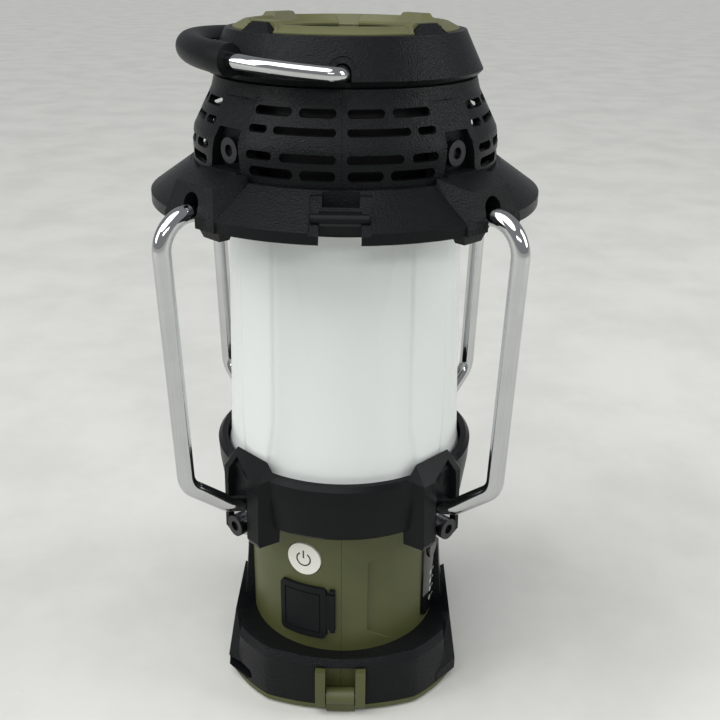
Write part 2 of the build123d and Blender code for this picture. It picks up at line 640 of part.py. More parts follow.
with BuildPart() as led_post:
    with BuildSketch(Plane.XY.offset(POST_LOW)):
        RegularPolygon(POST_R, 6)
        Circle(LEAD_R + 0.5, mode=Mode.SUBTRACT)
    extrude(amount=POST_TOP - POST_LOW)
led_post.part.label = "led_post"
export_step(led_post.part, "parts/led_post.step")

with BuildPart() as led_strips:
    for face in range(6):
        with BuildSketch(face_plane(30 + 60 * face, STRIP_R, 146)):
            Rectangle(6.4, 82)
        extrude(amount=1.0)
led_strips.part.label = "led_strips"
export_step(led_strips.part, "parts/led_strips.step")

with BuildPart() as led_chips:
    for face in range(6):
        with BuildSketch(face_plane(30 + 60 * face, STRIP_R + 1.0, 146)):
            with GridLocations(1, 13, 1, 6):
                RectangleRounded(3.4, 3.4, 0.4)
        extrude(amount=0.7)
led_chips.part.label = "led_chips"
export_step(led_chips.part, "parts/led_chips.step")

with BuildPart() as lamp_cap:
    with BuildSketch(Plane.XY.offset(POST_TOP)):
        Circle(40.6)
        Circle(LEAD_R + 0.5, mode=Mode.SUBTRACT)
    extrude(amount=2.0)
    with BuildSketch(Plane.XY.offset(POST_TOP + 2.0)):
        Circle(40.6)
        Circle(38.8, mode=Mode.SUBTRACT)
    extrude(amount=GLOBE_TOP + 1.0 - POST_TOP - 2.0)
lamp_cap.part.label = "lamp_cap"
export_step(lamp_cap.part, "parts/lamp_cap.step")

# ==== brim and guard bars ============================================================
LUG_BORE = 53.5         # the bars' upper ends are held from here outwards
SLOT_HALF = 3.8
LATCH_ROD = 1.7         # rod across each latch seat, and where its axis lies
LATCH_ROD_R = 62.8
LATCH_ROD_Z = 204.2
with BuildPart() as brim_collar:
    with BuildSketch(Plane.XZ):
        with BuildLine():
            Polyline(
                (GLOBE_R_TOP + 0.4, 194), (46.3, 194), (46.3, 205.6), (56.2, 205.6), (66.5, 198.9),
                (66.5, BRIM_BOTTOM), (BRIM_R, BRIM_BOTTOM), (BRIM_R, BRIM_Z),
                (BRIM_ROOT_R, BRIM_ROOT_Z), (52.95, BRIM_ROOT_Z), (52.95, CAGE_BOTTOM - 0.2),
                (38.4, CAGE_BOTTOM - 0.2), (38.4, GLOBE_TOP + 1), (GLOBE_R_TOP + 0.4, GLOBE_TOP + 1),
                close=True,
            )
        make_face()
    revolve(axis=Axis.Z)
    with Locations(Rotation(0, 0, CORNERS["front_left"])):
        ConvexPolyhedron(
            both(53.1, 11.5, 212.9) + both(65.0, 9.4, 210.4) + both(67.8, 13.0, 200.0)
            + both(67.8, 13.0, BRIM_BOTTOM) + both(53.1, 14.5, 200.0) + both(54.0, 14.0, BRIM_BOTTOM)
        )
        # tongue that rises into the cage's pocket, and the foot under the brim
        ConvexPolyhedron(
            both(48.8, 7.2, 213.3) + both(54.0, 7.2, 213.3)
            + both(48.8, 8.0, CAGE_BOTTOM - 0.2) + both(54.0, 8.0, CAGE_BOTTOM - 0.2)
        )
        ConvexPolyhedron(
            both(54.2, 7.0, BRIM_BOTTOM + 0.4) + both(61.5, 7.0, BRIM_BOTTOM + 0.4)
            + both(55.5, 4.2, 191.5) + both(59.5, 4.2, 191.5)
        )
        # slot that the bar drops into, open below, and the bore that holds its end
        with Locations(Location((70.5, 0, 204.2), (0, 90, 0))):
            Cylinder(SLOT_HALF, 20, mode=Mode.SUBTRACT)
        with Locations((70.5, 0, 197.2)):
            Box(20.0, 2 * SLOT_HALF, 14.0, mode=Mode.SUBTRACT)
        with Locations(Location((LUG_BORE, 0, BAR_TOP_Z), (0, 90, 0))):
            Cylinder(
                BAR_R + 0.02, 20, align=(Align.CENTER, Align.CENTER, Align.MIN), mode=Mode.SUBTRACT
            )
    # latch seat at the front; the one at the back is its mirror image
    with Locations(Rotation(0, 0, -90)):
        ConvexPolyhedron(
            both(55.2, 9.4, 212) + both(55.2, 9.4, 209.2) + both(72, 9.4, 197.4) + both(72, 9.4, 204),
            mode=Mode.SUBTRACT,
        )
        with Locations((67.4, 0, 200)):
            Box(15.0, 12.8, 14.0, mode=Mode.SUBTRACT)
        with Locations((56.6, 0, 208)):
            Box(4.2, 11.4, 8.0, mode=Mode.SUBTRACT)
        with Locations(Location((LATCH_ROD_R, 0, LATCH_ROD_Z), (90, 0, 0))):
            Cylinder(LATCH_ROD + 0.1, 17.8, mode=Mode.SUBTRACT)
    split(bisect_by=Plane.YZ, keep=Keep.BOTTOM)
    split(bisect_by=Plane.XZ, keep=Keep.TOP)
    mirror(about=Plane.YZ)
    mirror(about=Plane.XZ)
brim_collar.part.label = "brim_collar"
export_step(brim_collar.part, "parts/brim_collar.step")

with BuildPart() as brim_latches:
    for turn in (-90, 90):
        with Locations(Rotation(0, 0, turn)):
            ConvexPolyhedron(
                both(60.0, 6.1, 205.8) + both(62.8, 6.1, 205.4) + both(64.6, 6.1, 202.6)
                + both(63.6, 6.1, 199.6) + both(60.0, 6.1, 199.6)
            )
            with Locations(Location((LATCH_ROD_R, 0, LATCH_ROD_Z), (90, 0, 0))):
                Cylinder(LATCH_ROD, 17.4)
brim_latches.part.label = "brim_latches"
export_step(brim_latches.part, "parts/brim_latches.step")

# Chromed guard bars. Each is one bent rod with a flattened lower end, screwed to the ring.
with BuildPart() as bar_blank:
    with BuildLine(Plane.XZ) as bar_route:
        FilletPolyline(
            (55.0, BAR_TOP_Z), (78.9, BAR_TOP_Z), (75.35, 106.5), (58.6, 92.2), (50.6, 89.0),
            radius=[11.0, 9.0, 9.0],
        )
    with BuildSketch(Plane(origin=bar_route.line @ 0, z_dir=bar_route.line % 0)):
        Circle(BAR_R)
    sweep()
    # hammered transition and the flat tab with its screw hole
    ConvexPolyhedron(
        [(57.6, -2.2, 93.6), (57.6, 2.2, 93.6), (59.0, -2.2, 90.6), (59.0, 2.2, 90.6),
         (TAB_IN, -5.5, 91.0), (TAB_IN, 2.0, 91.0), (TAB_OUT, -5.5, 87.0), (TAB_OUT, 2.0, 87.0),
         (TAB_IN, -5.5, 86.0), (TAB_IN, 2.0, 86.0)]
    )
    with BuildSketch(Plane.YZ.offset(TAB_IN)):
        with Locations((-1.75, 82.8)):
            RectangleRounded(7.5, 14.6, 2.4)
    extrude(amount=TAB_OUT - TAB_IN)
    with Locations((TAB_IN - 10, 0, 85)):
        Box(20, 20, 40, mode=Mode.SUBTRACT)
    with Locations(Location((TAB_IN, SCREW_SIDE, SCREW_Z), (0, 90, 0))):
        Cylinder(1.7, 20, mode=Mode.SUBTRACT)
with BuildPart() as bar_mirrored:
    add(bar_blank.part)
    mirror(about=Plane.XZ, mode=Mode.REPLACE)

for corner, angle in CORNERS.items():
    blank = bar_blank if corner in ("front_left", "back_right") else bar_mirrored
    with BuildPart() as bar:
        with Locations(Rotation(0, 0, angle)):
            add(blank.part)
    bar.part.label = "bar_" + corner
    export_step(bar.part, "parts/bar_" + corner + ".step")

# ==== vent cage ======================================================================
POCKET_R = 48.5         # depth of the pockets that take the brim's tongues and screws
CAGE_SCREW_Z = 219.0
# each row of vents: bottom, top, and the two slots as degrees from the panel's middle
VENT_ROWS = [
    (231.1, 233.7, (2.0, 15.9), (18.8, 34.5)),
    (226.0, 228.3, (1.9, 24.8), (27.5, 35.2)),
    (218.2, 220.9, (1.8, 21.1), (24.1, 34.3)),
    (213.0, 216.2, (2.0, 14.0), (16.4, 33.0)),
]


def cage_radius(height):
    """Outside radius of the cage's cone and foot at that height."""
    if height < 222.8:
        return 53.0
    return 52.3 - (height - 222.8) * 0.516


with BuildPart() as vent_cutter:
    for low, high, inner, outer in VENT_ROWS:
        reach = cage_radius((low + high) / 2)
        for first, last in (inner, outer):
            for hand in (-1, 1):
                middle = -90 + hand * (first + last) / 2
                width = 2 * reach * sin(radians((last - first) / 2))
                with BuildSketch(face_plane(middle, 36, (low + high) / 2)):
                    SlotOverall(width, high - low)
                extrude(amount=24)

with BuildPart() as cage_blank:
    with BuildSketch(Plane.XZ):
        with BuildLine():
            Polyline(
                (43.3, 241.0), (43.3, 239.6), (44.9, 239.2), (45.9, 235.2), (52.3, 222.8), (53.0, 219),
                (53.0, 213), (52.6, CAGE_BOTTOM), (50.6, CAGE_BOTTOM), (51.0, 213), (51.0, 219),
                (50.4, 222.2), (44.0, 234.6), (42.3, 239), (42.3, 241.0), close=True,
            )
        make_face()
    revolve(axis=Axis.Z)
    with PolarLocations(0, 4):
        add(vent_cutter.part, mode=Mode.SUBTRACT)
    for angle in CORNERS.values():
        with Locations(Rotation(0, 0, angle)):
            # flat face of the pillar between two vented panels
            ConvexPolyhedron(
                both(45.2, 9.0, 235.2) + both(51.7, 9.0, 222.8) + both(58.0, 9.0, 222.8)
                + both(58.0, 9.0, 235.2),
                mode=Mode.SUBTRACT,
            )
            # pocket for the brim's tongue, with walls of its own
            ConvexPolyhedron(
                both(46.8, 7.2, 227.0) + both(48.6, 7.2, 227.0) + both(46.8, 10.2, CAGE_BOTTOM)
                + both(51.2, 10.2, CAGE_BOTTOM) + both(51.2, 8.2, 221.0)
            )
            ConvexPolyhedron(
                both(POCKET_R, 5.5, 226.0) + both(60, 5.5, 226.0) + both(POCKET_R, 8.6, CAGE_BOTTOM - 1)
                + both(60, 8.6, CAGE_BOTTOM - 1),
                mode=Mode.SUBTRACT,
            )
            with Locations(Location((48, 0, CAGE_SCREW_Z), (0, 90, 0))):
                Cylinder(1.7, 20, mode=Mode.SUBTRACT)

with BuildPart() as cage_left:
    add(cage_blank.part)
    split(bisect_by=Plane.YZ.offset(-SEAM), keep=Keep.BOTTOM)
cage_left.part.label = "cage_left"
export_step(cage_left.part, "parts/cage_left.step")

with BuildPart() as cage_right:
    add(cage_blank.part)
    split(bisect_by=Plane.YZ.offset(SEAM), keep=Keep.TOP)
cage_right.part.label = "cage_right"
export_step(cage_right.part, "parts/cage_right.step")

with BuildPart() as cage_screws:
    for angle in CORNERS.values():
        with Locations(Rotation(0, 0, angle)):
            with Locations(Location((POCKET_R + 0.05, 0, CAGE_SCREW_Z), (0, 90, 0))):
                Cylinder(4.1, 2.6, align=(Align.CENTER, Align.CENTER, Align.MIN))
            with Locations(Location((POCKET_R + 0.05, 0, CAGE_SCREW_Z), (0, -90, 0))):
                Cylinder(1.6, 5.4, align=(Align.CENTER, Align.CENTER, Align.MIN))
            with Locations(Location((POCKET_R + 2.8, 0, CAGE_SCREW_Z), (0, -90, 0))):
                Cylinder(
                    1.9, 1.6, align=(Align.CENTER, Align.CENTER, Align.MIN), mode=Mode.SUBTRACT
                )
cage_screws.part.label = "cage_screws"
export_step(cage_screws.part, "parts/cage_screws.step")

with BuildPart() as cage_baffle:
    with BuildSketch(Plane.XY.offset(CAGE_BOTTOM)):
        Circle(42.0)
        Circle(40.4, mode=Mode.SUBTRACT)
    extrude(amount=29.0)
cage_baffle.part.label = "cage_baffle"
export_step(cage_baffle.part, "parts/cage_baffle.step")

# ==== cap, solar window and bail =====================================================
TAB_HALF = 6.6          # the cap's four tabs, which grip the crown's edge
TAB_TOP = 257.0
with BuildPart() as cap_skin:
    with BuildSketch(Plane.XZ):
        with BuildLine():
            Polyline(
                (0, CAP_TOP + 2), (CAP_R_TOP + 0.35 - 1, CAP_TOP + 2), (CAP_R_LOW + 0.35, 241.6),
                (0, 241.6), close=True,
            )
        make_face()
    revolve(axis=Axis.Z)
with BuildPart() as halo:
    with Locations(Location((0, 0, BAIL_AXIS_Z + 0.4), (90, 0, 0))):
        Cylinder(5.6, 120)
        Cylinder(4.3, 120, mode=Mode.SUBTRACT)
    Cylinder(42.4, 600, mode=Mode.SUBTRACT)
    add(cap_skin.part, mode=Mode.INTERSECT)
with BuildPart() as cap_shell:
    with BuildSketch(Plane.XZ):
        with BuildLine():
            Polyline(
                (CAP_R_TOP, CAP_TOP), (CAP_R_LOW, 241.6), (45.6, CAP_BOTTOM), (43.6, CAP_BOTTOM),
                (43.6, 242.0), (40.2, 249.8), (38.3, 250.6), (38.3, CAP_TOP), close=True,
            )
        make_face()
    revolve(axis=Axis.Z)
    add(halo.part)
    # raised tabs on the top edge, between the crown's humps
    for angle in CORNERS.values():
        with Locations(Rotation(0, 0, angle)):
            ConvexPolyhedron(
                both(36.2, TAB_HALF, 254.6) + both(39.6, TAB_HALF, 253.9)
                + both(36.2, 3.4, TAB_TOP) + both(37.4, 3.4, TAB_TOP)
                + both(36.2, TAB_HALF, 252.0) + both(38.6, TAB_HALF, 252.0)
            )
    # bail slots, open at the bottom edge
    with Locations(Location((0, 0, BAIL_AXIS_Z), (90, 0, 0))):
        Cylinder(WIRE_R + 0.35, 120, mode=Mode.SUBTRACT)
    with Locations((0, 0, BAIL_AXIS_Z - 4)):
        Box(2 * WIRE_R + 0.7, 120, 8, mode=Mode.SUBTRACT)
cap_shell.part.label = "cap_shell"
export_step(cap_shell.part, "parts/cap_shell.step")

# Ring inside the cap that carries the two bail pivots and the crown.
with BuildPart() as pivot_ring:
    with BuildSketch(Plane.XY.offset(238.4)):
        Circle(39.8)
        Circle(37.0, mode=Mode.SUBTRACT)
    extrude(amount=11.4)
    with BuildSketch(Plane.XY.offset(247.8)):
        Circle(39.8)
        Circle(28.0, mode=Mode.SUBTRACT)
    extrude(amount=2.0)
    with Locations(Location((0, 0, BAIL_AXIS_Z), (90, 0, 0))):
        Cylinder(4.4, 80.8)
        Cylinder(4.5, 72.0, mode=Mode.SUBTRACT)
        Cylinder(WIRE_R + RUN, 120, mode=Mode.SUBTRACT)
pivot_ring.part.label = "pivot_ring"
export_step(pivot_ring.part, "parts/pivot_ring.step")

CROWN_LOW = 250.0
with BuildPart() as crown_bezel:
    with BuildSketch(Plane.XZ):
        with BuildLine():
            Polyline(
                (30.0, CROWN_LOW), (38.1, CROWN_LOW), (38.1, 254.4), (34.6, 256.2), (32.6, 256.2),
                (30.6, 254.0), (28.6, 253.4), (28.6, 252.7), (30.0, 252.7), close=True,
            )
        make_face()
    revolve(axis=Axis.Z)
    for angle in CORNERS.values():
        with Locations(Rotation(0, 0, angle)):
            ConvexPolyhedron(
                both(30.8, 6.4, 254.2) + both(37.2, 9.0, 254.2)
                + both(32.2, 4.2, CROWN_TOP) + both(36.0, 5.4, CROWN_TOP)
            )
            # seat of the cap's tab
            with Locations((38.1, 0, 254.8)):
                Box(4.0, 2 * TAB_HALF + 0.2, 6.0, mode=Mode.SUBTRACT)
    # notches that open the inner rim towards the window
    for turn in range(0, 360, 90):
        with Locations(Rotation(0, 0, turn)):
            ConvexPolyhedron(
                both(28.0, 3.4, 252.8) + both(30.4, 3.4, 252.8)
                + both(28.0, 5.4, 257.0) + both(33.4, 5.4, 257.0),
                mode=Mode.SUBTRACT,
            )
crown_bezel.part.label = "crown_bezel"
export_step(crown_bezel.part, "parts/crown_bezel.step")

with BuildPart() as solar_cells:
    with BuildSketch(Plane.XY.offset(CROWN_LOW)):
        Circle(29.8)
    extrude(amount=1.4)
solar_cells.part.label = "solar_cells"
export_step(solar_cells.part, "parts/solar_cells.step")

with BuildPart() as solar_window:
    with BuildSketch(Plane.XY.offset(CROWN_LOW + 1.4)):
        Circle(29.8)
    extrude(amount=1.2)
solar_window.part.label = "solar_window"
export_step(solar_window.part, "parts/solar_window.step")

with BuildPart() as solar_lead:
    with Locations((0, 0, POST_LOW)):
        Cylinder(LEAD_R, CROWN_LOW - POST_LOW, align=(Align.CENTER, Align.CENTER, Align.MIN))
solar_lead.part.label = "solar_lead"
export_step(solar_lead.part, "parts/solar_lead.step")

# Bail: one wire, a half circle with ends that turn in to the pivots. It is drawn in its own
# plane, where x points away from the axis and y runs from the front pivot to the back one.
BAIL_BEND = 3.5         # radius of the turn at each end
tilt = radians(BAIL_TILT)
BAIL_PLANE = Plane(
    origin=(0, 0, BAIL_AXIS_Z), x_dir=(-cos(tilt), 0, sin(tilt)), z_dir=(-sin(tilt), 0, -cos(tilt))
)
bend_y = ((BAIL_REACH - BAIL_BEND) ** 2 - BAIL_BEND ** 2) ** 0.5
bend_angle = degrees(atan2(bend_y, BAIL_BEND))
HEAD_IN = 34.6          # the retaining heads sit just inside the pivot bosses
with BuildPart() as bail_wire:
    with BuildLine(BAIL_PLANE) as bail_route:
        Line((0, -HEAD_IN), (0, -bend_y))
        CenterArc((BAIL_BEND, -bend_y), BAIL_BEND, 180, 180 - bend_angle)
        CenterArc((0, 0), BAIL_REACH, -bend_angle, 2 * bend_angle)
        CenterArc((BAIL_BEND, bend_y), BAIL_BEND, bend_angle, 180 - bend_angle)
        Line((0, bend_y), (0, HEAD_IN))
    with BuildSketch(Plane(origin=(0, -HEAD_IN, BAIL_AXIS_Z), z_dir=(0, -1, 0))):
        Circle(WIRE_R)
    sweep(path=bail_route.line)
    for side in (-1, 1):
        with Locations(Location((0, side * (HEAD_IN + 0.6), BAIL_AXIS_Z), (90, 0, 0))):
            Cylinder(3.4, 1.2)
bail_wire.part.label = "bail_wire"
export_step(bail_wire.part, "parts/bail_wire.step")

GRIP_HALF = 49.0        # degrees of the half circle each side of its middle
COLLAR_SPAN = 7.0       # degrees of each thicker end
axis_line = Axis((0, 0, BAIL_AXIS_Z), BAIL_PLANE.z_dir)
with BuildPart() as bail_grip:
    for start, span, radius in (
        (-GRIP_HALF, 2 * GRIP_HALF, GRIP_R),
        (-GRIP_HALF, COLLAR_SPAN, GRIP_R + 0.25),
        (GRIP_HALF - COLLAR_SPAN, COLLAR_SPAN, GRIP_R + 0.25),
    ):
        section = Plane(BAIL_PLANE.location * Location((0, 0, 0), (0, 0, start)))
        with BuildSketch(Plane(origin=section.origin, x_dir=section.x_dir, z_dir=section.y_dir)):
            with Locations((BAIL_REACH, 0)):
                Circle(radius)
                Circle(WIRE_R + 0.03, mode=Mode.SUBTRACT)
        revolve(axis=axis_line, revolution_arc=span)
    # slit along the inside
    section = Plane(BAIL_PLANE.location * Location((0, 0, 0), (0, 0, -GRIP_HALF - 1)))
    with BuildSketch(Plane(origin=section.origin, x_dir=section.x_dir, z_dir=section.y_dir)):
        with Locations((BAIL_REACH - GRIP_R, 0)):
            Rectangle(5.6, 1.6)
    revolve(axis=axis_line, revolution_arc=2 * GRIP_HALF + 2, mode=Mode.SUBTRACT)
bail_grip.part.label = "bail_grip"
export_step(bail_grip.part, "parts/bail_grip.step")
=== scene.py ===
# %% [markdown]
# # A camping lantern
#
# The lantern is a real assembly: moulded black and olive plastic, a frosted globe, four bent
# chromed bars and a bail that folds. Its design arrives as a packed model, with every piece at
# its place. This notebook gives each piece its finish, and remakes the pieces whose surface is
# worth more than the plain design model gives them.

# %% Load the packed model
from math import cos, radians, sin, sqrt

import bmesh
import bpy
from mathutils import Matrix, Vector


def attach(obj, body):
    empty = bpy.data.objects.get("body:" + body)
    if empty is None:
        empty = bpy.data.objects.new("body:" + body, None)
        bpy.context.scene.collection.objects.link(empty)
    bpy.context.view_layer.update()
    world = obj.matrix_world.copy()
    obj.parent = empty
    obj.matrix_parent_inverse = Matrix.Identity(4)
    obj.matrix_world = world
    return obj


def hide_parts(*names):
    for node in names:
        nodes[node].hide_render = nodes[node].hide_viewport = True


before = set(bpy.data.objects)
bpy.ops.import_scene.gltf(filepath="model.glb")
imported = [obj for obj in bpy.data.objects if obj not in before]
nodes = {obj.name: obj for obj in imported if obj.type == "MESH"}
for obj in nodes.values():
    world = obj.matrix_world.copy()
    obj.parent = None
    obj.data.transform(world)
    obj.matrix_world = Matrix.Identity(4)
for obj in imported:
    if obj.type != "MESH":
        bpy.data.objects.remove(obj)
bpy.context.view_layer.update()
MM = 0.001

# %% [markdown]
# ## The camera
#
# The lantern is looked down on from the front, a little above its top. The lens is fairly long,
# so that the upright sides stay almost parallel. A camera could be aimed at an empty by a
# constraint. Here it is turned by three angles instead, a heading, a downward pitch and a
# slight roll, because a constraint can't say the roll.

# %% Camera
LENS, SENSOR = 47.24, 36.0
STANDPOINT = (0.0081, -0.3364, 0.2769)
HEADING, PITCH, ROLL = radians(0.37), radians(90 - 23.32), radians(0.66)

camera_data = bpy.data.cameras.new("camera")
camera_data.lens = LENS
camera_data.sensor_width = SENSOR
camera = bpy.data.objects.new("camera", camera_data)
bpy.context.scene.collection.objects.link(camera)
camera.matrix_world = (
    Matrix.Translation(STANDPOINT)
    @ Matrix.Rotation(HEADING, 4, "Z")
    @ Matrix.Rotation(PITCH, 4, "X")
    @ Matrix.Rotation(ROLL, 4, "Z")
)
bpy.context.scene.camera = camera
print("camera height in mm:", round(camera.matrix_world.translation.z / MM))

# %% [markdown]
# ## A small language for node trees
#
# A finish is a chain of sums: gloss plus grain, minus wear. Written as nodes and links, one by
# one, that is hard to read. `Value` wraps a socket so that `1 - mask * 0.4` adds its own Math
# nodes. `Tree.node` makes any other node: its settings are set first, then its sockets get a
# number, a colour or a link. Both serve materials and Geometry Nodes alike.

# %% Values and trees
class Value:
    """The output of a node, which can stand in a Python expression."""

    def __init__(self, tree, socket):
        self.tree, self.socket = tree, socket

    def join(self, operation, left, right):
        return self.tree.node("ShaderNodeMath", {"operation": operation}, {0: left, 1: right})

    def beside(self, output):
        """Another output of the same node."""
        return Value(self.tree, self.socket.node.outputs[output])

    def __add__(self, other):
        return self.join("ADD", self, other)

    def __radd__(self, other):
        return self.join("ADD", other, self)

    def __sub__(self, other):
        return self.join("SUBTRACT", self, other)

    def __rsub__(self, other):
        return self.join("SUBTRACT", other, self)

    def __mul__(self, other):
        return self.join("MULTIPLY", self, other)

    def __rmul__(self, other):
        return self.join("MULTIPLY", other, self)


class Tree:
    """A node tree that is built by calling node()."""

    def __init__(self, tree):
        self.tree = tree

    def node(self, kind, settings=None, inputs=None, output=0):
        made = self.tree.nodes.new(kind)
        for name, value in (settings or {}).items():
            setattr(made, name, value)
        for name, value in (inputs or {}).items():
            if isinstance(value, Value):
                self.tree.links.new(value.socket, made.inputs[name])
            else:
                made.inputs[name].default_value = value
        return Value(self, made.outputs[output]) if made.outputs else None


print("operators that work from either side:", [name for name in vars(Value) if name.startswith("__r")])

# %% [markdown]
# ## Finishes
#
# Moulded plastic is never one flat colour. The mould leaves a grain, handling polishes the high
# spots, and dust dulls the rest. That could be painted on pictures, which need unwrapped pieces.
# Every finish here is a Principled shader on object coordinates instead, so that a pattern
# needs no picture and has the same size in millimetres on every piece.

# %% The start of every finish
class Finish(Tree):
    """A material with a Principled shader, and the patterns that several finishes share."""

    def __init__(self, name):
        self.material = bpy.data.materials.new(name)
        self.material.use_nodes = True
        super().__init__(self.material.node_tree)
        self.tree.nodes.clear()
        self.place = self.node("ShaderNodeTexCoord", output=3)

    def noise(self, per_mm, detail=2.0, roughness=0.5):
        return self.node(
            "ShaderNodeTexNoise", None,
            {"Vector": self.place, "Scale": per_mm / MM, "Detail": detail, "Roughness": roughness},
        )

    def cells(self, per_mm, feature="SMOOTH_F1"):
        return self.node(
            "ShaderNodeTexVoronoi", {"feature": feature}, {"Vector": self.place, "Scale": per_mm / MM}
        )

    def between(self, value, low, high):
        """0 below low, 1 above high, smooth in between."""
        return self.node(
            "ShaderNodeMapRange", {"interpolation_type": "SMOOTHSTEP"},
            {"Value": value, "From Min": low, "From Max": high},
        )

    def mix(self, share, first, second):
        """A colour between two colours."""
        def colour(value):
            return value if isinstance(value, Value) else (*value, 1.0)

        return self.node(
            "ShaderNodeMix", {"data_type": "RGBA"}, {0: share, 6: colour(first), 7: colour(second)}, 2
        )

    def worn(self):
        """1 on the rounded edges of a softened shell, 0 elsewhere."""
        return self.node("ShaderNodeAttribute", {"attribute_name": "wear"}, output=2)

    def bump(self, height, strength, depth_mm):
        return self.node(
            "ShaderNodeBump", None,
            {"Height": height, "Strength": strength, "Distance": depth_mm * MM},
        )

    def done(self, **sockets):
        """The finished material. Base_Color sets or links the socket Base Color, and so on."""
        inputs = {name.replace("_", " "): value for name, value in sockets.items()}
        shader = self.node("ShaderNodeBsdfPrincipled", None, inputs)
        self.node("ShaderNodeOutputMaterial", None, {"Surface": shader})
        return self.material


def dimmed(colour, share):
    return tuple(share * part for part in colour)


print("one feature in each millimetre is a scale of", round(1 / MM))

# %% [markdown]
# ### Black plastics
#
# The cap, the cage and the flanks of the lugs carry a fine leather grain, etched into the
# steel mould. Plain noise looks like sand. Small rounded cells with a finer noise on top look
# like leather, and the same grain at a tenth of the depth does for the smooth blacks. Dust lies
# in soft patches, and rounded edges that carry the mark named wear are rubbed paler.

# %% Black plastics
def black_plastic(name, grain_depth, gloss):
    f = Finish(name)
    cells = f.cells(1.7)
    fine = f.noise(5.0, 3.0)
    clouds = f.noise(0.035, 4.0)
    height = cells * 0.7 + fine * 0.3
    dust = f.between(clouds, 0.52, 0.75) * 0.35
    rubbed = f.worn() * f.between(f.noise(0.10, 3.0), 0.35, 0.65)
    plain = f.mix(dust, (0.0060, 0.0068, 0.0074), (0.017, 0.018, 0.018))
    colour = f.mix(rubbed * 0.55, plain, (0.030, 0.032, 0.033))
    rough = gloss + height * 0.10 + dust * 0.18 - rubbed * 0.08
    return f.done(
        Base_Color=colour, Roughness=rough, Normal=f.bump(height, 0.8, grain_depth),
        Specular_IOR_Level=0.11,
    )


grained_black = black_plastic("black_grained", 0.30, 0.26)
smooth_black = black_plastic("black_smooth", 0.04, 0.30)
soft_black = black_plastic("black_soft_cover", 0.05, 0.42)
grip_black = black_plastic("grip_rubber", 0.05, 0.34)
print("black finishes:", grained_black.name, smooth_black.name, soft_black.name, grip_black.name)

# %% [markdown]
# ### Olive plastic
#
# The body is satin olive plastic. Its spark-eroded texture is much finer than the black
# grain, so it is noise alone, without cells. A slow drift in the colour, and a few paler
# specks, keep it from looking like paint.

# %% Olive plastic
def olive_plastic(name, tint):
    f = Finish(name)
    fine = f.noise(4.0, 3.0, 0.6)
    drift = f.noise(0.03, 3.0)
    specks = f.between(f.noise(0.9, 2.0), 0.72, 0.78)
    base = f.mix(f.between(drift, 0.3, 0.7), dimmed(tint, 0.90), dimmed(tint, 1.08))
    rubbed = f.worn() * f.between(f.noise(0.12, 3.0), 0.35, 0.65)
    speckled = f.mix(specks * 0.15, base, (0.30, 0.30, 0.20))
    colour = f.mix(rubbed * 0.30, speckled, (0.22, 0.23, 0.11))
    rough = 0.34 + fine * 0.14 + drift * 0.08 - rubbed * 0.06
    return f.done(
        Base_Color=colour, Roughness=rough, Normal=f.bump(fine, 0.35, 0.05), Specular_IOR_Level=0.38
    )


olive = olive_plastic("olive_satin", (0.070, 0.076, 0.026))
# The crown takes a paler copy of the same olive: painted light, standing for the glare on its upward
# faces.
olive_crown_painted_light = olive_plastic("olive_crown_painted_light", (0.112, 0.114, 0.046))
print("olive finishes:", olive.name, olive_crown_painted_light.name)

# %% [markdown]
# ### Metals
#
# The bars are bent first and plated afterwards, so the plating is even, with fine handling
# scratches and a faint haze where fingers touch it. A haze could be a second shader mixed in.
# Here it raises the roughness and dims the tone a little, which costs one noise. The screws,
# contacts and the lamp's post take the same finish with other tones.

# %% Metals
def metal(name, colour, low_rough, high_rough):
    f = Finish(name)
    haze = f.between(f.noise(0.12, 4.0), 0.35, 0.75)
    marks = f.between(f.noise(2.2, 6.0, 0.75), 0.60, 0.75)
    rough = low_rough + haze * (high_rough - low_rough) + marks * 0.05
    tone = f.mix(haze * 0.4, colour, dimmed(colour, 0.86))
    return f.done(Base_Color=tone, Metallic=1.0, Roughness=rough, Normal=f.bump(marks, 0.15, 0.01))


chrome = metal("chrome_plate", (0.56, 0.565, 0.57), 0.045, 0.11)
black_steel = metal("black_oxide_steel", (0.055, 0.055, 0.060), 0.30, 0.42)
contact_plate = metal("plated_contacts", (0.72, 0.69, 0.60), 0.15, 0.30)
post_metal = metal("extruded_aluminium", (0.62, 0.62, 0.64), 0.30, 0.42)
print("metals:", chrome.name, black_steel.name, contact_plate.name, post_metal.name)

# %% [markdown]
# ### Frosted globe and white plastics
#
# The globe is milky plastic that scatters light inside its wall. Real transmission through a
# wall is slow and noisy to render. Subsurface scattering gives the same soft, deep white, with
# a clear coat on top for the highlights. The button, the reflector and the small lenses are
# made alike, without the scattering.

# %% Light coloured plastics
def milky_plastic(name, colour, gloss, scatter):
    f = Finish(name)
    clouds = f.noise(0.02, 3.0)
    fine = f.noise(1.4, 2.0)
    tone = f.mix(f.between(clouds, 0.1, 0.9), colour, dimmed(colour, 0.98))
    return f.done(
        Base_Color=tone, Roughness=gloss + fine * 0.04, Normal=f.bump(fine, 0.10, 0.02),
        Subsurface_Weight=scatter, Subsurface_Radius=(0.004, 0.004, 0.004), Coat_Weight=0.25,
        Coat_Roughness=0.12,
    )


globe_white = milky_plastic("globe_frosted", (0.74, 0.775, 0.755), 0.24, 0.25)
button_white = milky_plastic("button_white", (0.74, 0.73, 0.66), 0.30, 0.0)
reflector_white = milky_plastic("reflector_white", (0.78, 0.78, 0.76), 0.25, 0.0)
lens_clear = milky_plastic("indicator_lens", (0.30, 0.34, 0.31), 0.12, 0.0)
print("light plastics:", globe_white.name, button_white.name, reflector_white.name, lens_clear.name)

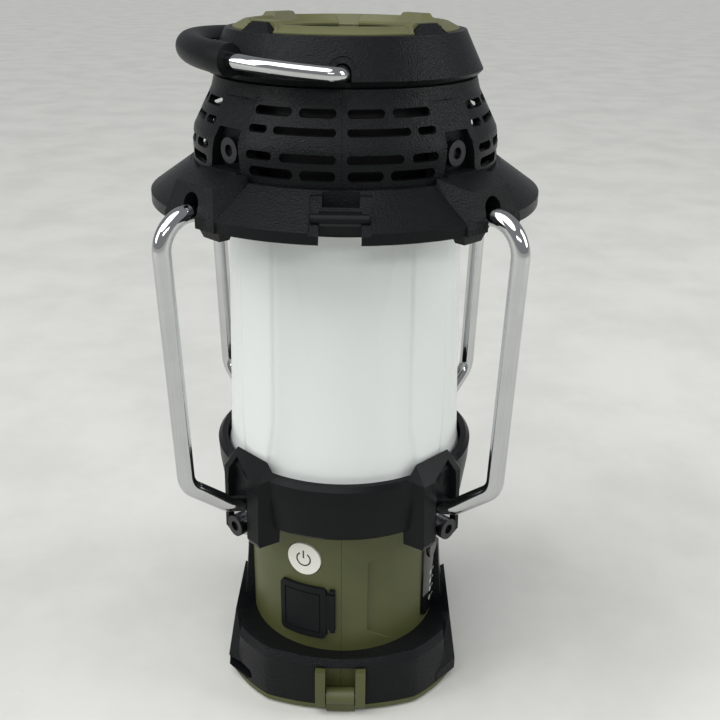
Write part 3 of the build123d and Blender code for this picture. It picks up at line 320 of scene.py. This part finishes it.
# %% [markdown]
# ### Quiet finishes for small pieces
#
# Ink, seals, boards, cells and wires are small or hidden. Each could be one flat colour, but a
# flat colour looks unfinished as soon as the door or the cover opens. One short recipe gives
# them all a slight drift in tone and a fine grain.

# %% Small and hidden pieces
def plain_plastic(name, colour, gloss, grain_per_mm, depth):
    f = Finish(name)
    fine = f.noise(grain_per_mm, 3.0)
    drift = f.noise(0.08, 2.0)
    tone = f.mix(f.between(drift, 0.3, 0.7), colour, dimmed(colour, 0.82))
    return f.done(Base_Color=tone, Roughness=gloss + fine * 0.08, Normal=f.bump(fine, 0.3, depth))


gloss_panel = plain_plastic("panel_gloss_black", (0.0055, 0.0055, 0.006), 0.05, 0.4, 0.01)
ink = plain_plastic("printed_ink", (0.015, 0.015, 0.015), 0.45, 3.0, 0.01)
seal_black = plain_plastic("seal_rubber", (0.018, 0.018, 0.018), 0.62, 2.5, 0.05)
cell_wrap = plain_plastic("cell_shrink_wrap", (0.04, 0.15, 0.32), 0.25, 0.6, 0.02)
board_green = plain_plastic("circuit_board", (0.015, 0.10, 0.04), 0.30, 1.2, 0.03)
phosphor = plain_plastic("led_phosphor", (0.85, 0.68, 0.22), 0.35, 2.0, 0.01)
lead_red = plain_plastic("lead_insulation", (0.28, 0.02, 0.02), 0.45, 2.0, 0.01)
bay_black = plain_plastic("inner_black", (0.004, 0.004, 0.004), 0.7, 2.0, 0.03)
silver_ink = plain_plastic("silver_fingers", (0.55, 0.56, 0.58), 0.30, 2.0, 0.01)
print("quiet finishes end with:", silver_ink.name)

# %% [markdown]
# ### Silicon and glass
#
# The cells under the top window are cut from cast silicon, whose crystals differ slightly in
# tone. A field of cells with hard borders is that pattern as it stands. The window is clear
# plastic with a little haze, and it lets light through, because an opaque disc with cells
# painted on would lose the depth between window and silicon.

# %% Silicon and glass
def solar_silicon():
    f = Finish("solar_silicon")
    crystals = f.cells(0.25, "F1")
    tone = f.mix(f.between(crystals, 0.0, 0.9), (0.006, 0.010, 0.035), (0.012, 0.020, 0.060))
    return f.done(Base_Color=tone, Roughness=0.18 + crystals * 0.06, Coat_Weight=0.5)


def window_glass():
    f = Finish("window_clear")
    haze = f.noise(0.3, 4.0)
    return f.done(
        Base_Color=f.mix(haze, (0.93, 0.95, 0.95), (0.88, 0.90, 0.90)), Roughness=0.04 + haze * 0.05,
        Transmission_Weight=1.0, IOR=1.49,
    )


silicon = solar_silicon()
clear_window = window_glass()
print("finishes made:", len(bpy.data.materials))

# %% [markdown]
# ## Helpers for finished pieces
#
# A new piece is a mesh whose points are already at their place in the lantern. It could be
# modelled at the centre and moved, but then its object coordinates, and its grain, would move
# too. When it is complete, its modifiers become plain geometry, and it is hung on the body
# that it moves with.

# %% Making and finishing pieces
def new_piece(name, bm, material):
    """An object at the origin, made of the mesh in bm."""
    mesh = bpy.data.meshes.new(name)
    bm.to_mesh(mesh)
    bm.free()
    piece = bpy.data.objects.new(name, mesh)
    bpy.context.scene.collection.objects.link(piece)
    mesh.materials.append(material)
    return piece


def shade(mesh, sharp_above):
    """Smooth shading, but for edges that turn more than sharp_above degrees."""
    for polygon in mesh.polygons:
        polygon.use_smooth = True
    mesh.set_sharp_from_angle(angle=radians(sharp_above))


def hang(piece, body, slot, *stands_for):
    """Turn the piece's modifiers into mesh, and make it ride on its body."""
    if piece.modifiers:
        ready = piece.evaluated_get(bpy.context.evaluated_depsgraph_get())
        mesh = bpy.data.meshes.new_from_object(ready)
        piece.modifiers.clear()
        piece.data = mesh
    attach(piece, body)
    if stands_for:
        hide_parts(*stands_for)


print("new pieces go to:", bpy.context.scene.collection.name)

# %% [markdown]
# ## Moulded shells with soft edges
#
# No moulded edge is a knife edge: the steel mould is rounded by a few tenths of a millimetre,
# and that small round is what catches the light. Each shell starts as a copy of its design
# node. The copy's loose triangles are merged into one skin, flat regions become single faces,
# and every edge that turns more than 28 degrees is bevelled. A Bevel modifier would round the
# same edges, but bmesh also says which faces are new. Those carry a mark named wear, so that a
# finish can rub them paler and shinier than the flats.

# %% Soft-edged copies of the design's shells
EDGE_TURN = 28.0
FLAT_TURN = 0.6
WELD = 0.002 * MM


def soften(name, body, slot, material, round_mm):
    bm = bmesh.new()
    bm.from_mesh(nodes[name].data)
    bmesh.ops.remove_doubles(bm, verts=bm.verts, dist=WELD)
    bmesh.ops.dissolve_limit(bm, angle_limit=radians(FLAT_TURN), verts=bm.verts, edges=bm.edges)
    shared = [edge for edge in bm.edges if len(edge.link_faces) == 2]
    corners = [edge for edge in shared if edge.calc_face_angle() > radians(EDGE_TURN)]
    rounded = bmesh.ops.bevel(
        bm, geom=corners, offset=round_mm * MM, segments=2, profile=0.5, affect="EDGES",
        clamp_overlap=True,
    )
    wear = bm.loops.layers.float.new("wear")
    for face in rounded["faces"]:
        for loop in face.loops:
            loop[wear] = 1.0
    piece = new_piece(name + "_shell", bm, material)
    shade(piece.data, EDGE_TURN)
    piece.modifiers.new("shading", "WEIGHTED_NORMAL").keep_sharp = True
    hang(piece, body, slot, name)
    print(piece.name, "rounded edges:", len(corners), "faces:", len(piece.data.polygons))


# node, body, slot, finish, rounding in mm
SHELLS = [
    ("skirt_left", "lantern", "black_plastic", grained_black, 0.45),
    ("skirt_right", "lantern", "black_plastic", grained_black, 0.45),
    ("body_left", "lantern", "olive_plastic", olive, 0.35),
    ("body_right", "lantern", "olive_plastic", olive, 0.35),
    ("ring_collar", "lantern", "black_plastic", smooth_black, 0.5),
    ("brim_collar", "lantern", "black_plastic", grained_black, 0.5),
    ("brim_latches", "lantern", "black_plastic", smooth_black, 0.3),
    ("cage_left", "lantern", "black_plastic", grained_black, 0.22),
    ("cage_right", "lantern", "black_plastic", grained_black, 0.22),
    ("cap_shell", "lantern", "black_plastic", grained_black, 0.4),
    # the crown's olive is the paler copy: painted light from above
    ("crown_bezel", "lantern", "olive_plastic", olive_crown_painted_light, 0.4),
    ("control_panel", "lantern", "gloss_panel", gloss_panel, 0.15),
    ("base_door", "base_door", "olive_plastic", olive, 0.3),
    ("usb_cover", "usb_cover", "soft_cover", soft_black, 0.3),
    ("usb_button", "usb_button", "white_plastic", button_white, 0.15),
    ("mode_button", "mode_button", "gloss_panel", gloss_panel, 0.15),
]
for row in SHELLS:
    soften(*row)

# %% [markdown]
# ## Frosted globe
#
# The globe is one injection moulding, open at both ends. Four broad panels are let into it by
# under a millimetre, with a round pillar left between each pair. The panels flare a little at
# the foot. Inside each one lies a second, shallower panel that narrows downwards to a V. The
# panels could be cut with booleans, which leave hard borders. Here a grid of points is placed
# on the turned profile and pushed in by a smooth pattern, so every border is a soft slope.

# %% Globe profile and panels
FOOT, RIM = 98, 203
WALL = 2.0
PROFILE = [(FOOT, 45.6), (106, 45.2), (118, 44.75), (130, 44.3), (155, 43.75), (180, 43.2),
           (194, 42.9), (RIM, 42.9)]
PANEL_STEP, PANEL_TURN = 0.70, 33.6
FLARE_TOP, FLARE_FOOT, FLARE_TURN = 124, 104, 3.4
INNER_STEP, VEE_TURN, VEE_GROWTH = 0.26, 13.0, 12.0


def ramp(value, low, high):
    """0 at low, 1 at high, smooth in between and level beyond."""
    share = min(1.0, max(0.0, (value - low) / (high - low)))
    return share * share * (3 - 2 * share)


def globe_radius(z):
    """Outside radius in mm at a height from the foot to the rim."""
    for (z0, r0), (z1, r1) in zip(PROFILE, PROFILE[1:]):
        if z <= z1:
            return r0 + (r1 - r0) * (z - z0) / (z1 - z0)


def panel_depth(turn, z):
    """How far the outside is let in, for an angle in degrees from the middle of a panel."""
    broad_end = PANEL_TURN + FLARE_TURN * ramp(z, FLARE_TOP, FLARE_FOOT)
    broad = PANEL_STEP * (1 - ramp(abs(turn), broad_end - 0.6, broad_end + 0.6))
    vee_end = VEE_TURN + VEE_GROWTH * ramp(z, 140, 200)
    inner = INNER_STEP * (1 - ramp(abs(turn), vee_end - 1.2, vee_end + 1.2))
    return broad * ramp(z, FOOT + 2, FOOT + 5.5) + inner * ramp(z, 138, 172)


print("globe radius in mm, foot and rim:", globe_radius(FOOT), globe_radius(RIM))

# %% Globe mesh
def globe_shell():
    around, bm = 480, bmesh.new()
    heights = [*range(FOOT, FOOT + 7), 106, *range(108, RIM + 1, 3), RIM]
    rows = [(z, False) for z in heights] + [(z, True) for z in reversed(heights)]
    rings = []
    for z, inside in rows:
        ring = []
        for step in range(around):
            degree = 360.0 * step / around
            turn = (degree + 45.0) % 90.0 - 45.0
            radius = globe_radius(z) - (WALL if inside else panel_depth(turn, z))
            angle = radians(degree)
            ring.append(bm.verts.new((radius * MM * cos(angle), radius * MM * sin(angle), z * MM)))
        rings.append(ring)
    for lower, upper in zip(rings, rings[1:] + rings[:1]):
        for step in range(around):
            after = (step + 1) % around
            bm.faces.new((lower[step], lower[after], upper[after], upper[step]))
    return bm


globe = new_piece("frosted_globe", globe_shell(), globe_white)
shade(globe.data, 60)
hang(globe, "lantern", "globe_plastic", "globe")
print("globe faces:", len(globe.data.polygons))

# %% [markdown]
# ## Small repeats, made by Geometry Nodes
#
# Three kinds of piece are one small shape set many times: the silver fingers printed on the
# solar cells, the teeth along the slit of the rubber grip, and the dashes on the control panel.
# A loop in the script could place every box. A node group that takes the path, the size and the
# number of copies as named inputs leaves a change to the count as one value. The copies are
# made real and turned into plain mesh at the end.

# %% A node group that sets boxes along a curve
def repeat_group(name):
    group = bpy.data.node_groups.new(name, "GeometryNodeTree")
    face = group.interface
    face.new_socket("Geometry", in_out="INPUT", socket_type="NodeSocketGeometry")
    for label, kind in (("Count", "NodeSocketInt"), ("Size", "NodeSocketVector"),
                        ("Material", "NodeSocketMaterial")):
        face.new_socket(label, in_out="INPUT", socket_type=kind)
    face.new_socket("Geometry", in_out="OUTPUT", socket_type="NodeSocketGeometry")
    t = Tree(group)
    path = t.node("NodeGroupInput")
    curve = t.node("GeometryNodeMeshToCurve", None, {0: path})
    points = t.node(
        "GeometryNodeCurveToPoints", {"mode": "COUNT"}, {"Curve": curve, "Count": path.beside("Count")}
    )
    box = t.node("GeometryNodeMeshCube", None, {"Size": path.beside("Size")})
    copies = t.node(
        "GeometryNodeInstanceOnPoints", None,
        {"Points": points, "Instance": box, "Rotation": points.beside("Rotation")},
    )
    real = t.node("GeometryNodeRealizeInstances", None, {"Geometry": copies})
    painted = t.node(
        "GeometryNodeSetMaterial", None, {"Geometry": real, "Material": path.beside("Material")}
    )
    t.node("NodeGroupOutput", None, {0: painted})
    return group


REPEAT = repeat_group("boxes_along_a_path")
print("nodes in the group:", len(REPEAT.nodes))

# %% Using the group
def repeat_along(name, path, count, size_mm, material, body, slot):
    bm = bmesh.new()
    points = [bm.verts.new(tuple(c * MM for c in point)) for point in path]
    for first, second in zip(points, points[1:]):
        bm.edges.new((first, second))
    piece = new_piece(name, bm, material)
    maker = piece.modifiers.new("repeat", "NODES")
    maker.node_group = REPEAT
    values = {"Count": count, "Size": tuple(c * MM for c in size_mm), "Material": material}
    for item in REPEAT.interface.items_tree:
        if item.in_out == "INPUT" and item.name in values:
            maker[item.identifier] = values[item.name]
    hang(piece, body, slot)
    print(name, "copies:", count, "faces:", len(piece.data.polygons))


print("sockets of the group:", [item.name for item in REPEAT.interface.items_tree])

# %% [markdown]
# ### Silver fingers on the solar cells
#
# The fingers collect the current. On a real cell they are finer than a hair, and broken into
# short prints. They could be stripes in the silicon's finish, but printed silver stands proud
# and catches light by itself. Here each is a row of flat boxes just above the silicon, under
# the window, and each reaches to the edge of the round panel.

# %% Solar cell print
FINGER_Z = 251.37
FINGER_PITCH = 4.2
FINGER_SIZE = (1.7, 0.14, 0.02)
PRINT_LENGTH = 1.6
PANEL_REACH = 28.6
HALF_COUNT = 6

for number in range(-HALF_COUNT, HALF_COUNT + 1):
    across = number * FINGER_PITCH
    reach = sqrt(PANEL_REACH ** 2 - across ** 2)
    repeat_along(
        f"solar_finger_{number + HALF_COUNT + 1}",
        [(-reach, across, FINGER_Z), (reach, across, FINGER_Z)],
        2 * int(reach / PRINT_LENGTH), FINGER_SIZE, silver_ink, "lantern", "contact_metal",
    )

# %% [markdown]
# ### Teeth of the rubber grip
#
# The grip is slit along the inside so that it can be pressed over the wire. Small teeth on
# both lips of the slit keep it closed. They follow the half circle of the bail, which stands
# four and a half degrees above level when it is folded down. The path is worked out from that
# arc, so that the teeth stay on the wire if the bail's size changes.

# %% Grip teeth
BAIL_PIVOT = Vector((0, 0, 244.0))
BAIL_TILT = radians(4.5)
BAIL_OUT = Vector((-cos(BAIL_TILT), 0, sin(BAIL_TILT)))
BAIL_UP = Vector((sin(BAIL_TILT), 0, cos(BAIL_TILT)))
SLIT_REACH = 47.85
LIP = 1.15
TEETH = 44
TOOTH_SIZE = (0.7, 0.5, 0.7)


def on_bail(turn, reach, lift):
    """A point on the bail: turn in degrees from its middle, reach from the pivot axis."""
    flat = BAIL_OUT * cos(radians(turn)) + Vector((0, 1, 0)) * sin(radians(turn))
    return BAIL_PIVOT + flat * reach + BAIL_UP * lift


for side, lift in (("upper", LIP), ("lower", -LIP)):
    path = [on_bail(turn, SLIT_REACH, lift) for turn in range(-40, 41, 2)]
    repeat_along("grip_teeth_" + side, path, TEETH, TOOTH_SIZE, grip_black, "bail", "grip_rubber")

# %% [markdown]
# ### Dashes on the control panel
#
# A short row of dots beside each indicator light stands for the charge level, and each row
# has one dot more than the row below it. The dots are printed on the gloss panel, so they are
# hardly thicker than ink. A picture on the panel would do it too, but it would need a map of
# the curved face. A path that runs round the body puts the dots on it directly.

# %% Panel dashes
PANEL_MIDDLE = radians(-23.1)
PANEL_RADIUS = 38.9
DOT_SIZE = (0.3, 0.3, 0.02)
LOWEST_ROW, ROW_PITCH, ROWS = 32.0, 4.2, 4


def on_round(middle, radius, side, height, out):
    """A point on an upright round face: side in mm along it, out in mm away from it."""
    turn = middle + side / radius
    return Vector((cos(turn) * (radius + out), sin(turn) * (radius + out), height))


for number in range(ROWS):
    height = LOWEST_ROW + number * ROW_PITCH
    path = [on_round(PANEL_MIDDLE, PANEL_RADIUS, side, height, 0.01) for side in (2.4, 3.3, 4.2)]
    repeat_along(
        f"level_dash_{number + 1}", path, 3 + number, DOT_SIZE, button_white,
        "lantern", "white_plastic",
    )

# %% [markdown]
# ### Power symbol
#
# The white switch carries the common sign for on and off: an open ring with a stroke in the
# gap. It is printed ink, so it follows the button's curved face. A text object could give the
# sign, but it would be flat. Each band is built between two rows of points on the face.

# %% Power symbol on the switch
SWITCH_MIDDLE = radians(-112.2)
SWITCH_Z = 64.2
SWITCH_RADIUS = 38.5
INK = 0.03
RING_INNER, RING_OUTER = 2.5, 3.1
GAP_TURN = 32
STROKE_HALF, STROKE_LOW, STROKE_HIGH = 0.3, 0.4, 3.9


def on_switch(side, up, out):
    return on_round(SWITCH_MIDDLE, SWITCH_RADIUS, side, SWITCH_Z + up, out) * MM


def printed_band(bm, inner, outer):
    """A thin closed band between two rows of points, given as (side, up)."""
    rows = []
    for near, far in zip(inner, outer):
        corners = (*near, 0.0), (*far, 0.0), (*far, INK), (*near, INK)
        rows.append([bm.verts.new(on_switch(*corner)) for corner in corners])
    for first, second in zip(rows, rows[1:]):
        for k in range(4):
            bm.faces.new((first[k], first[(k + 1) % 4], second[(k + 1) % 4], second[k]))
    bm.faces.new(rows[0][::-1])
    bm.faces.new(rows[-1])


def open_ring(radius, steps=48):
    """Points round a ring that is open at the top."""
    whole = 360 - 2 * GAP_TURN
    turns = [radians(90 + GAP_TURN + step * whole / steps) for step in range(steps + 1)]
    return [(radius * cos(turn), radius * sin(turn)) for turn in turns]


symbol_mesh = bmesh.new()
printed_band(symbol_mesh, open_ring(RING_INNER), open_ring(RING_OUTER))
printed_band(
    symbol_mesh,
    [(-STROKE_HALF, STROKE_LOW), (-STROKE_HALF, STROKE_HIGH)],
    [(STROKE_HALF, STROKE_LOW), (STROKE_HALF, STROKE_HIGH)],
)
bmesh.ops.recalc_face_normals(symbol_mesh, faces=symbol_mesh.faces)
symbol = new_piece("power_symbol", symbol_mesh, ink)
hang(symbol, "usb_button", "black_plastic")
print("symbol faces:", len(symbol.data.polygons))

# %% [markdown]
# ## Carried-over pieces
#
# The other pieces are right as they come: seals, boards, pins, cells, rods and the wire. They
# could be remade like the shells, but their edges are round already or hidden. They stay where
# the design puts them and only get their finish.

# %% Finishes of the design's own nodes
FINISH_OF = {
    "usb_bay": bay_black, "battery_holder": bay_black, "pivot_ring": smooth_black,
    "cage_baffle": bay_black, "foot_pads": seal_black, "door_seal": seal_black,
    "globe_seals": seal_black, "indicator_lights": lens_clear, "lamp_reflector": reflector_white,
    "lamp_cap": reflector_white, "hinge_pin": black_steel, "usb_cover_pin": smooth_black,
    "door_contact": contact_plate, "contact_springs": contact_plate, "usb_port_a": contact_plate,
    "charge_port": contact_plate, "battery_cells": cell_wrap, "main_board": board_green,
    "button_board": board_green, "usb_board": board_green, "lamp_board": board_green,
    "led_strips": board_green, "led_chips": phosphor, "led_post": post_metal,
    "solar_cells": silicon, "solar_window": clear_window, "solar_lead": lead_red,
    "bail_wire": chrome, "bail_grip": grip_black,
    "bar_front_left": chrome, "bar_front_right": chrome, "bar_back_left": chrome,
    "bar_back_right": chrome, "ring_screws": black_steel, "cage_screws": black_steel,
}
for name, material in FINISH_OF.items():
    slots = nodes[name].data.materials
    slots.clear()
    slots.append(material)
print("nodes with a finish of their own:", len(FINISH_OF))

# %% [markdown]
# ## Floor and light
#
# A wide pale floor runs out on all sides, so that the lantern can be looked at from anywhere.
# A broad soft sun lights the floor evenly to its far edge. A wall of windows would do it too,
# but its light fades within a metre and leaves the distance dark. Two large panels at the sides
# and a strip in front give the steel and the globe their reflections.

# %% Stage
FLOOR_TONE = (0.62, 0.62, 0.585)
FLOOR_REACH = 8.0


def floor_finish():
    f = Finish("floor_pale")
    clouds = f.noise(0.012, 6.0, 0.6)
    specks = f.between(f.noise(0.25, 5.0, 0.7), 0.66, 0.74) * f.between(f.noise(0.03, 2.0), 0.5, 0.65)
    cloudy = f.mix(f.between(clouds, 0.35, 0.7), FLOOR_TONE, dimmed(FLOOR_TONE, 0.90))
    tone = f.mix(specks * 0.45, cloudy, (0.30, 0.29, 0.27))
    return f.done(Base_Color=tone, Roughness=0.75, Specular_IOR_Level=0.2)


floor_mesh = bmesh.new()
bmesh.ops.create_grid(floor_mesh, x_segments=1, y_segments=1, size=FLOOR_REACH)
floor = new_piece("floor", floor_mesh, floor_finish())
print("floor reaches", FLOOR_REACH, "m each way")

# %% Sky and lights
SKY_TINT, SKY_STRENGTH = (0.93, 0.96, 1.0, 1.0), 0.30
LANTERN_MIDDLE = Vector((0, 0, 0.12))
SUN_FROM = Vector((-0.3, -0.35, 1.0))


def aimed_light(name, kind, place, aim):
    light = bpy.data.objects.new(name, bpy.data.lights.new(name, kind))
    light.location = place
    light.rotation_euler = (aim - place).to_track_quat("-Z", "Y").to_euler()
    bpy.context.scene.collection.objects.link(light)
    return light.data


def panel_light(name, place, size, watts):
    panel = aimed_light(name, "AREA", Vector(place), LANTERN_MIDDLE)
    panel.shape = "RECTANGLE"
    panel.size, panel.size_y = size
    panel.energy = watts


world = bpy.data.worlds.new("sky")
world.use_nodes = True
sky = world.node_tree.nodes["Background"].inputs
sky["Color"].default_value = SKY_TINT
sky["Strength"].default_value = SKY_STRENGTH
bpy.context.scene.world = world

panel_light("left_window", (-1.05, -0.35, 0.75), (0.5, 0.8), 6.0)
panel_light("right_window", (1.10, -0.15, 0.70), (0.4, 0.7), 5.5)
panel_light("front_strip", (0.15, -1.1, 0.75), (0.7, 0.12), 2.5)
sun = aimed_light("soft_sun", "SUN", SUN_FROM, Vector((0, 0, 0)))
sun.energy = 2.0
sun.angle = 1.0
bpy.context.scene.view_settings.view_transform = "Standard"
print("lights:", len(bpy.data.lights))

# %% [markdown]
